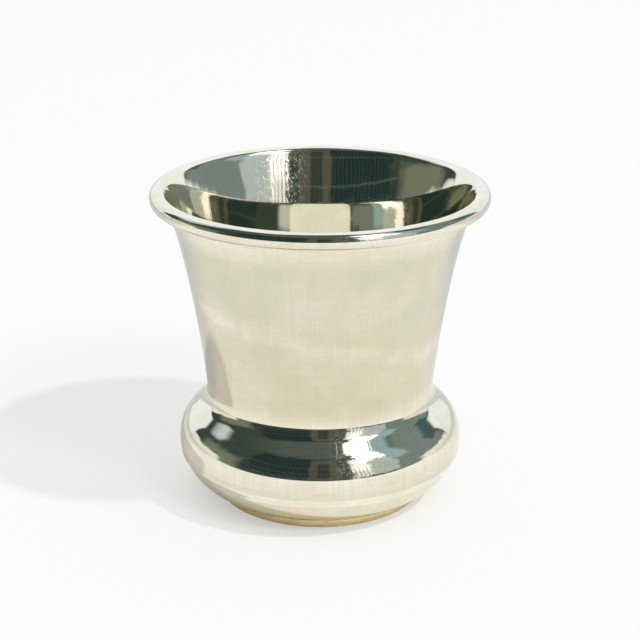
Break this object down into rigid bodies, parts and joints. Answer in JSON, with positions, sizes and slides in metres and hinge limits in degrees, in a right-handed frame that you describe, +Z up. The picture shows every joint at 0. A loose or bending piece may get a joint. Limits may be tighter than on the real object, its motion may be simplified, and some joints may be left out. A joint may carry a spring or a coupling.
{
  "type": "bar jigger",
  "caption": "Silver-plated thistle-shaped bar jigger with a flared cup, a rolled bead lip, a waisted neck, a squat round bulb and a short brass foot ring.",
  "frame": {"origin": "centre of the surface that the foot ring stands on", "axes": "+Z up, along the axis of the turned vessel; X and Y are alike because the jigger is round"},
  "size_m": [0.054, 0.054, 0.0516],
  "materials": {
    "silver_plate": "polished silver plate with fine spinning lines",
    "brass": "brushed, slightly worn",
    "wire": "drawn wire, hidden in the roll",
    "solder": null
  },
  "bodies": {
    "root": {"cup": "silver_plate", "base_pan": "silver_plate", "foot_ring": "brass", "rim_wire": "wire", "seam_solder": "solder", "foot_solder": "solder"}
  },
  "joints": []
}
